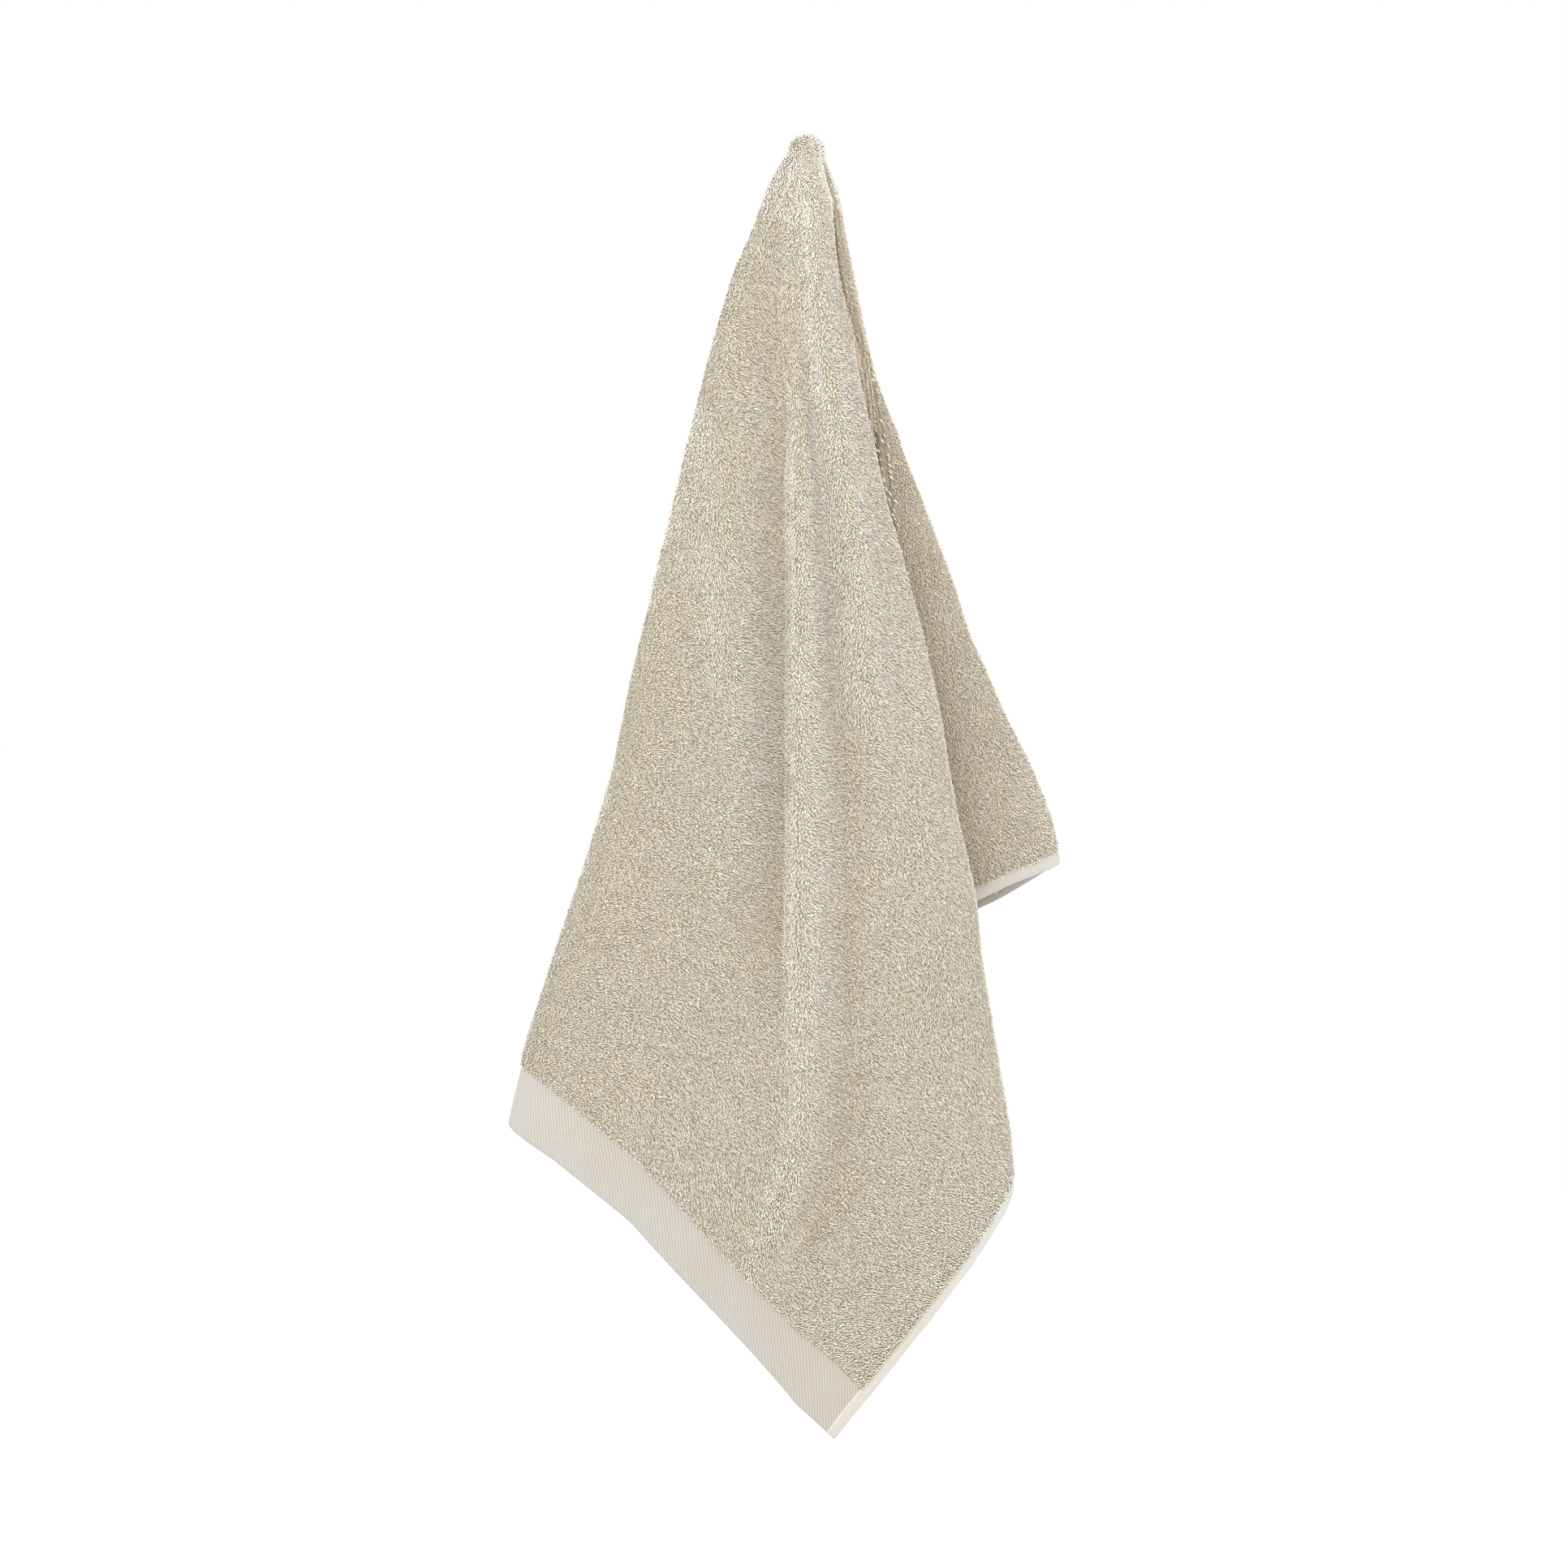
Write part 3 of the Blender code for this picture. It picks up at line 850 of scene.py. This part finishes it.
# How the loops differ from that, and from each other.  Pairs of distances are the
# cloth from the hang point at which a change begins and ends.
UNRULY_SIZE = 0.030
UNRULY_TURN = (8, 9)
SWIRL_SIZE = 0.013
SWIRL_TURN = 32
LIFT = 0.04
LIFT_SPREAD = 0.13
STRAY_SHARE = 0.03
STRAY_LIFT = 0.45
WHORL_RANGE = (0.010, 0.028)
TOP_WHORL = 75
STANDING_RANGE = (0.005, 0.015)
TOP_LIFT = math.radians(26)
TOP_LENGTHENING = 0.25
# Painted light: near the crown the loops' tones are pushed paler, to even out the shade on their
# raised sides.
CROWN_RANGE = (0.012, 0.055)
CROWN_PAINTED_LIGHT = 0.3
CREST_HEIGHTS = (0.003, 0.007)
CREST_BROADENING = 0.3
HEIGHT_GROWTH = 0.3
SIZE_SPREAD = (0.16, 0.12, 0.14)


def lie_angle(marks, across, drop):
    """Degrees from straight down that the pile lies, blended from the nearest marks."""
    x, down = across * 1000, drop * 1000
    total = np.full_like(x, SLANT_WEIGHT * SLANT_ELSEWHERE)
    weight = np.full_like(x, SLANT_WEIGHT)
    for mark_x, mark_down, angle in marks:
        share = np.exp(-((x - mark_x) ** 2 + (down - mark_down) ** 2) / (2 * LIE_REACH ** 2))
        total += share * angle
        weight += share
    angle = total / weight
    for half_width, crest, fan, line in COMBED_RIDGES:
        line = np.array(line, float)
        off = (x - np.interp(down, line[:, 1], line[:, 0])) / half_width
        begun = smooth_step(line[0, 1] - RIDGE_FADE, line[0, 1] + RIDGE_FADE, down)
        ended = smooth_step(line[-1, 1] - RIDGE_FADE, line[-1, 1] + RIDGE_FADE, down)
        near = begun * (1 - ended) * np.exp(-off ** 2)
        angle = angle * (1 - near) + near * (crest + fan * off)
    return angle


def loop_shape(material):
    """One strand of a loop: a plump three-sided yarn that rises from its root and leans over."""
    shape = bmesh.new()
    # The "yarn" attribute carries painted shade: dark at the root, pale at the tip.
    out_of_shade = shape.verts.layers.float.new("yarn")
    belly = bmesh.ops.create_circle(shape, segments=LOOP_SIDES, radius=1.0)["verts"]
    around = {edge for vert in belly for edge in vert.link_edges}
    for vert in belly:
        top, side = vert.co.x, vert.co.y
        height = LOOP_BELLY[1] + top * LOOP_HALF_HEIGHT
        vert.co = Vector((LOOP_BELLY[0], side * LOOP_HALF_WIDTH, height)) / 1000
        vert[out_of_shade] = BELLY_OUT_OF_SHADE
    for (along, up), pale in ((LOOP_ROOT, 0.0), (LOOP_TIP, 1.0)):
        end = shape.verts.new(Vector((along, 0.0, up)) / 1000)
        end[out_of_shade] = pale
        for edge in around:
            shape.faces.new((*edge.verts, end))
    for face in shape.faces:
        face.smooth = True
    bmesh.ops.recalc_face_normals(shape, faces=shape.faces)
    mesh = bpy.data.meshes.new("loop")
    shape.to_mesh(mesh)
    shape.free()
    mesh.materials.append(material)
    return bpy.data.objects.new("loop", mesh)


def pile_material():
    """Cotton loops: painted shade darkens each towards its root, painted shade browns them in the
    folds and beside the front panel's edge, each a little different, in soft warm and cool areas.
    """
    material, tree, shader = new_material("sand terry loops")
    yarn, own, fold = (
        add_node(tree, "ShaderNodeAttribute", (-1000, y), {}, attribute_name=name).outputs["Fac"]
        for name, y in (("yarn", 200), ("own_tone", -50), ("fold_shade_share", 400)))
    # Painted shade towards the root, along each loop.
    along = mixed(tree, (-700, 200), yarn, LOOP_ROOT_PAINTED_SHADE, LOOP_TIP_COLOUR)
    tinted = soft_areas(tree, (-450, -300), 22.0, 2.0, LOOP_WARM, LOOP_COOL, along)
    # Painted shade in the folds and beside the front panel's edge: a darker, browner multiply.
    fold_shaded = mixed(tree, (-150, 300), fold, tinted, FOLD_PAINTED_SHADE, blend="MULTIPLY")
    level = add_node(tree, "ShaderNodeMapRange", (-450, -50),
                     {"Value": own, "To Min": OWN_TONES[0], "To Max": OWN_TONES[1]})
    toned = add_node(tree, "ShaderNodeVectorMath", (-50, 100),
                     {0: fold_shaded, "Scale": level.outputs["Result"]}, operation="SCALE")
    set_inputs(shader, {
        "Base Color": toned.outputs["Vector"],
        "Roughness": 0.92,
        "Sheen Weight": 0.4,
        "Sheen Roughness": 0.5,
    })
    return material


def piece_nodes(name):
    """Geometry nodes for a piece: the tree, the geometry that comes in, the node it leaves by."""
    tree = bpy.data.node_groups.new(name, "GeometryNodeTree")
    for way in ("INPUT", "OUTPUT"):
        tree.interface.new_socket("Geometry", in_out=way, socket_type="NodeSocketGeometry")
    came_in = add_node(tree, "NodeGroupInput", (-700, 200), {}).outputs["Geometry"]
    return tree, came_in, add_node(tree, "NodeGroupOutput", (500, 0), {})


def scattered_roots(spacing, seed):
    """Geometry nodes that scatter loop roots evenly over a patch and keep them as vertices."""
    tree, patch, done = piece_nodes("loop roots")
    scatter = add_node(tree, "GeometryNodeDistributePointsOnFaces", (-200, 0), {},
                       distribute_method="POISSON")
    set_inputs(scatter, {
        "Mesh": patch,
        "Distance Min": spacing,
        "Density Max": 4.0 / spacing ** 2,
        "Seed": seed,
    })
    roots = add_node(tree, "GeometryNodePointsToVertices", (100, 0),
                     {"Points": scatter.outputs["Points"]})
    set_inputs(done, {"Geometry": roots.outputs["Mesh"]})
    return tree


ROOT_VALUES = ("loop_up", "loop_lie", "loop_size")


def loops_on_roots(loop):
    """Geometry nodes that set a loop on each root, turned and sized as the root says."""
    tree, roots, done = piece_nodes("loops on their roots")
    up, lie, size = (
        add_node(tree, "GeometryNodeInputNamedAttribute", (-700, -150 * row), {"Name": name},
                 data_type="FLOAT_VECTOR").outputs["Attribute"]
        for row, name in enumerate(ROOT_VALUES))
    turned = add_node(tree, "FunctionNodeAxesToRotation", (-400, -200),
                      {"Primary Axis": up, "Secondary Axis": lie},
                      primary_axis="Z", secondary_axis="X")
    template = add_node(tree, "GeometryNodeObjectInfo", (-400, 200), {"Object": loop})
    placed = add_node(tree, "GeometryNodeInstanceOnPoints", (0, 0), {
        "Points": roots,
        "Instance": template.outputs["Geometry"],
        "Rotation": turned.outputs["Rotation"],
        "Scale": size,
    })
    real = add_node(tree, "GeometryNodeRealizeInstances", (250, 0),
                    {"Geometry": placed.outputs["Instances"]})
    set_inputs(done, {"Geometry": real.outputs["Geometry"]})
    return tree


def applied(piece, tree):
    """The piece's mesh after geometry nodes."""
    nodes = piece.modifiers.new("nodes", "NODES")
    nodes.node_group = tree
    evaluated = piece.evaluated_get(bpy.context.evaluated_depsgraph_get())
    mesh = bpy.data.meshes.new_from_object(evaluated)
    piece.modifiers.remove(nodes)
    return mesh


def read_values(mesh, name):
    """The numbers of a mesh's attribute."""
    numbers = np.empty(len(mesh.vertices))
    mesh.attributes[name].data.foreach_get("value", numbers)
    return numbers


JUST_OVER_ONE = 1.001
thread_normals = np.cross(np.gradient(threads, axis=0), np.gradient(threads, axis=1))
thread_normals[0] = (0.0, 0.0, 1.0)
thread_normals /= np.maximum(np.linalg.norm(thread_normals, axis=2, keepdims=True), TINY ** 2)
thread_directions = np.array([flat_direction(columns, reach) for reach in steps])[..., None]


def between_threads(values, column, reach):
    """A value that is known for every step of every thread, at places between them."""
    row = np.clip(reach / THREAD_STEP, 0, len(steps) - JUST_OVER_ONE)
    column = np.clip(column, 0, values.shape[1] - JUST_OVER_ONE)
    r, c = row.astype(int), column.astype(int)
    down, aside = (row - r)[:, None], (column - c)[:, None]
    upper = values[r, c] * (1 - aside) + values[r, c + 1] * aside
    lower = values[r + 1, c] * (1 - aside) + values[r + 1, c + 1] * aside
    return upper * (1 - down) + lower * down


def unit(vectors):
    """The vectors at length one."""
    return vectors / np.maximum(np.linalg.norm(vectors, axis=1, keepdims=True), TINY)


def rooted_piece(name, column_range, row_range, spacing, seed):
    """A piece of scattered roots, with the thread and the reach of every root."""
    patch, cells = cloth_patch(row_range, column_range)
    thread_layer = patch.verts.layers.float.new("thread")
    reach_layer = patch.verts.layers.float.new("reach")
    for vert in patch.verts:
        row, column = cells[vert.index]
        vert[thread_layer] = column
        vert[reach_layer] = reaches[row, column]
    mesh = bpy.data.meshes.new(name)
    patch.to_mesh(mesh)
    patch.free()
    piece = bpy.data.objects.new(name, mesh)
    bpy.context.collection.objects.link(piece)
    piece.data = applied(piece, scattered_roots(spacing, seed))
    return piece, read_values(piece.data, "thread"), read_values(piece.data, "reach")


def painted_fold_shade(marks, least_fold_shade, across, drop, pushed_out):
    """How much painted shade darkens and browns the loops in the folds, and on the flap beside the
    front panel's edge.
    """
    if marks is not FLAP_LIE:
        return np.clip(least_fold_shade - pushed_out / FOLD_SHADE_DEPTH, 0.0, 1.0)
    outline = np.array(OUTLINE, float) / 1000
    off = across - np.interp(drop, outline[:, 0], outline[:, 2])
    return least_fold_shade + (1 - least_fold_shade) * np.exp(-np.maximum(off, 0.0) / FLAP_SHADE_REACH)


def pile_piece(name, column_range, row_range, side, spacing, size, seed, marks, least_fold_shade, loop):
    """The loops on one side of one stretch of the cloth, as one piece."""
    piece, column, reach = rooted_piece(name, column_range, row_range, spacing, seed)
    count = len(reach)
    direction = between_threads(thread_directions, column, reach)[:, 0]
    root_u = HANG_TO_FAR_EDGE + reach * np.sin(direction)
    root_v = HANG_TO_BORDER_END - reach * np.cos(direction)
    normal = unit(side * between_threads(thread_normals, column, reach))
    place = between_threads(threads, column, reach)
    place += normal * ground_thickness(reach, root_u, root_v)[:, None] / 2
    across, drop = place[:, 0], -place[:, 2]

    chance = np.random.default_rng(seed)
    messy = np.array([noise.noise(Vector((u, v, 0.0)) / UNRULY_SIZE)
                      for u, v in zip(root_u, root_v)])
    swirl = np.array([noise.noise(Vector((u, v, SWIRL_SIZE)) / SWIRL_SIZE)
                      for u, v in zip(root_u, root_v)])
    angle = lie_angle(marks, across, drop)
    angle += (1 - smooth_step(*WHORL_RANGE, reach)) * (TOP_WHORL - angle) + SWIRL_TURN * swirl
    angle += chance.normal(0.0, 1.0, count) * (UNRULY_TURN[0] + UNRULY_TURN[1] * messy)
    angle = np.radians(angle)[:, None]
    down = np.zeros_like(place)
    down[:, 2] = -1.0
    down = unit(down - (down * normal).sum(axis=1, keepdims=True) * normal)
    lie = np.cos(angle) * down + np.sin(angle) * np.cross(normal, down)

    standing = 1 - smooth_step(*STANDING_RANGE, reach)
    lift = chance.normal(LIFT, LIFT_SPREAD, count)
    lift += (chance.random(count) < STRAY_SHARE) * STRAY_LIFT / size
    lift = (lift + TOP_LIFT * standing)[:, None]
    pushed_out = crease_height(CREASES, CREASE_FADE, across, drop)
    on_crest = CREST_BROADENING * smooth_step(*CREST_HEIGHTS, pushed_out)
    shape = np.empty((count, 3))
    shape[:, 0] = size * (1 + TOP_LENGTHENING * standing)
    shape[:, 1] = size * (1 + TOP_LENGTHENING * standing + on_crest)
    shape[:, 2] = size ** HEIGHT_GROWTH
    shape *= 1 + chance.uniform(-1, 1, (count, 3)) * SIZE_SPREAD
    own_tone = chance.random(count)
    # Painted light at the crown: paler tones there.
    own_tone += CROWN_PAINTED_LIGHT * (1 - smooth_step(*CROWN_RANGE, reach)) * (1 - own_tone)
    # Painted shade in the furrows and on the flap beside the front panel's edge.
    fold_shade_share = painted_fold_shade(marks, least_fold_shade, across, drop, pushed_out)

    up = np.cos(lift) * normal - np.sin(lift) * lie
    raised_lie = np.cos(lift) * lie + np.sin(lift) * normal
    attributes = piece.data.attributes
    for key, numbers in zip(ROOT_VALUES, (up, raised_lie, shape)):
        attributes.new(key, "FLOAT_VECTOR", "POINT").data.foreach_set("vector", numbers.ravel())
    for key, numbers in (("own_tone", own_tone), ("fold_shade_share", fold_shade_share)):
        attributes.new(key, "FLOAT", "POINT").data.foreach_set("value", numbers)
    piece.data.vertices.foreach_set("co", place.ravel())
    piece.data = applied(piece, loops_on_roots(loop))
    piece.data.name = name
    for key in (*ROOT_VALUES, "thread", "reach"):
        if key in piece.data.attributes:
            piece.data.attributes.remove(piece.data.attributes[key])
    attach(piece, "root")
    return piece


loop = loop_shape(pile_material())
left, right, flap = (columns[name] for name in ("left", "right", "flap"))
last_column = threads.shape[1] - 1
FRONT_PIECES = 5
front_ends = np.interp([left - 6, right + 9], np.arange(last_column + 1), columns["run"])
cuts = np.searchsorted(columns["run"], np.linspace(*front_ends, FRONT_PIECES + 1))
crown_end = CROWN_ROWS + 4
to_hem = (crown_end, last_pile_row)
all_rows = (0, last_pile_row)
upper_part = (crown_end, last_pile_row * 2 // 5)
lower_part = (last_pile_row * 2 // 5, last_pile_row)
low_end = (last_pile_row * 7 // 10, last_pile_row)
last_pleats = right + (flap - right) * 3 // 5
FRONT_SPACING = 0.00090
FRONT_SEEDS = (11, 12, 13, 18, 21)
PILE_PIECES = (
    # name, columns, rows, side, spacing of the roots, size, seed, marks, least painted fold shade
    ("pile_crown", (cuts[0], flap + 6), (0, crown_end), 1, 0.00069, 1.0, 23, PILE_LIE, 0.05),
    *((f"pile_front_{k + 1}", (cuts[k], cuts[k + 1]), to_hem, 1, FRONT_SPACING, 1.0, seed,
       PILE_LIE, 0.05) for k, seed in enumerate(FRONT_SEEDS)),
    ("pile_fold_top", (cuts[5], flap - 16), upper_part, 1, 0.00120, 1.0, 17, FLAP_LIE, 0.5),
    ("pile_flap", (flap - 16, flap + 6), to_hem, 1, 0.00091, 1.0, 14, FLAP_LIE, 0.15),
    ("pile_back", (0, cuts[0]), all_rows, 1, 0.00143, 1.42, 15, PILE_LIE, 0.08),
    ("pile_flap_back", (flap + 6, last_column), all_rows, 1, 0.00143, 1.42, 16, FLAP_LIE, 0.15),
    ("pile_inside_front", (left, right), low_end, -1, 0.00240, 2.0, 19, (), 0.2),
    ("pile_inside_pleats", (last_pleats, last_column), lower_part, -1, 0.00255, 2.1, 20, (), 0.2),
    ("pile_last_pleats", (last_pleats, flap - 16), lower_part, 1, 0.00255, 2.1, 22, (), 0.2),
)
pile = [pile_piece(*values, loop) for values in PILE_PIECES]
bpy.data.objects.remove(loop, do_unlink=True)


# --- floor, light and camera ----------------------------------------------------
# A pale studio: a white floor well below the towel, an even white surround, two
# large soft lights in front, the brighter one from the upper left, and one on
# each side that brightens the edges.
FLOOR_DROP = 0.90
FLOOR_SIZE = 12.0
floor_shape = bmesh.new()
bmesh.ops.create_grid(floor_shape, x_segments=1, y_segments=1, size=FLOOR_SIZE / 2)
bmesh.ops.translate(floor_shape, verts=floor_shape.verts, vec=(0.0, 0.0, -FLOOR_DROP))
floor_mesh = bpy.data.meshes.new("floor")
floor_shape.to_mesh(floor_mesh)
floor_shape.free()
floor = bpy.data.objects.new("floor", floor_mesh)
bpy.context.collection.objects.link(floor)
floor_material, _, floor_shader = new_material("white studio floor")
set_inputs(floor_shader, {
    "Base Color": (0.93, 0.93, 0.93, 1.0),
    "Roughness": 0.8,
    "Emission Color": (1.0, 1.0, 1.0, 1.0),
    "Emission Strength": 0.15,
})
floor_mesh.materials.append(floor_material)

world = bpy.data.worlds.new("white surround")
bpy.context.scene.world = world
world.use_nodes = True
set_inputs(world.node_tree.nodes["Background"], {"Color": (1.0, 1.0, 1.0, 1.0), "Strength": 1.0})

LIGHTS = (
    # name, place, watts, size
    ("key", (-0.5, -2.0, 1.0), 35.0, 0.9),
    ("fill", (1.0, -2.3, 0.1), 6.0, 1.6),
    ("left edge light", (-2.0, -0.5, 0.3), 20.0, 1.4),
    ("right edge light", (2.0, -0.5, 0.3), 19.0, 1.4),
)
LIGHTS_AIM = Vector((0.0, 0.0, -0.36))
for name, place, watts, size in LIGHTS:
    lamp = bpy.data.lights.new(name, "AREA")
    lamp.energy = watts
    lamp.size = size
    lamp_object = bpy.data.objects.new(name, lamp)
    lamp_object.location = place
    lamp_object.rotation_euler = (LIGHTS_AIM - Vector(place)).to_track_quat("-Z", "Y").to_euler()
    bpy.context.collection.objects.link(lamp_object)

VIEW_WIDTH = 0.8607
VIEW_CENTRE = (-0.0125, -0.0400, -0.3582)
LENS = 180.0
SENSOR = 36.0
camera = bpy.data.cameras.new("camera")
camera.lens = LENS
camera.sensor_width = SENSOR
camera_object = bpy.data.objects.new("camera", camera)
distance = VIEW_WIDTH * LENS / SENSOR
camera_object.location = (VIEW_CENTRE[0], VIEW_CENTRE[1] - distance, VIEW_CENTRE[2])
camera_object.rotation_euler = (math.radians(90), 0.0, 0.0)
bpy.context.collection.objects.link(camera_object)
bpy.context.scene.camera = camera_object
bpy.context.scene.view_settings.view_transform = "Standard"
